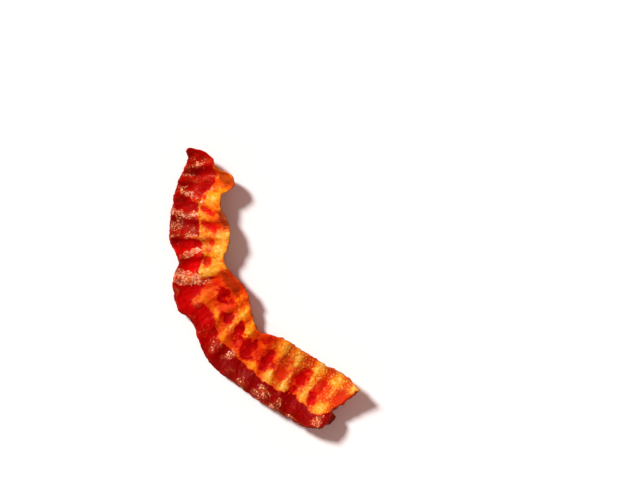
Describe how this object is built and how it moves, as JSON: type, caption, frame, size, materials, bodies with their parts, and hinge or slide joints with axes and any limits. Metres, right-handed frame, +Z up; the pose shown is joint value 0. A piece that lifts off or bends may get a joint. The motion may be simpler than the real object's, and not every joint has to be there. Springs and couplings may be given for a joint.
{
  "type": "fried bacon strip",
  "caption": "Fried streaky bacon strip, bent in a wide curve, with frying ripples across it, a lean outer side, a fatty inner side and curled, uneven edges.",
  "frame": {"origin": "under the middle of the strip's box, on the surface that it rests on", "axes": "+Z up; +Y towards the narrow end, along the strip's longest extent; +X towards the open side of the bend, where the far end points"},
  "size_m": [0.0954, 0.1398, 0.0122],
  "materials": {
    "fried_bacon": "oily fried meat: deep red lean and orange-yellow fat, glossy on the ripple crests"
  },
  "bodies": {
    "root": {"bacon_strip": "fried_bacon"}
  },
  "joints": []
}
